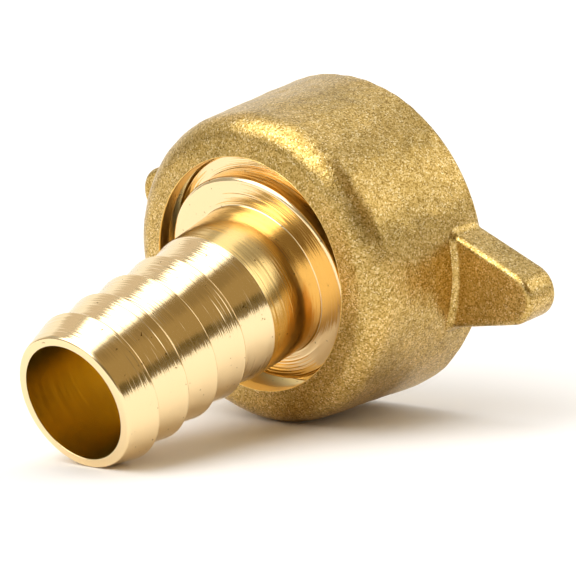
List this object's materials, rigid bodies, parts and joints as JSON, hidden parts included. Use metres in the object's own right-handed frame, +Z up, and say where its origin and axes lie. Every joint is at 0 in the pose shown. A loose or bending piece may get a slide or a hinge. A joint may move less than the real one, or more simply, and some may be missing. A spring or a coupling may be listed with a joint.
{
  "type": "hose barb tail",
  "caption": "Hose barb tail with a loose lug nut: a sawtooth-barbed tube with a collar, held by its flange in a tapped swivel nut with wing lugs.",
  "frame": {"origin": "on the nut's axis where its full thread begins, just inside the open rim", "axes": "+Z up from the table it lies on, +X towards the tail's mouth, +Y along the nut's lugs, to the left when looking along +X"},
  "size_m": [0.0421, 0.0466, 0.0317],
  "materials": {
    "cast_brass": "shot-blasted",
    "turned_brass": "bright turned",
    "washer_rubber": "matt"
  },
  "bodies": {
    "nut": {"lug_nut": "cast_brass"},
    "washer": {"sealing_washer": "washer_rubber"},
    "tail": {"hose_tail": "turned_brass"}
  },
  "joints": [
    {"name": "nut_slide", "type": "slide", "parent": "nut", "child": "washer", "axis": [-0.9909, 0, 0.1348], "range_m": [0, 0.016]},
    {"name": "tail_swivel", "type": "hinge", "parent": "washer", "child": "tail", "pos_m": [0.01295, 0.00015, -0.0025], "axis": [0.9524, 0, -0.3048], "continuous": true}
  ]
}
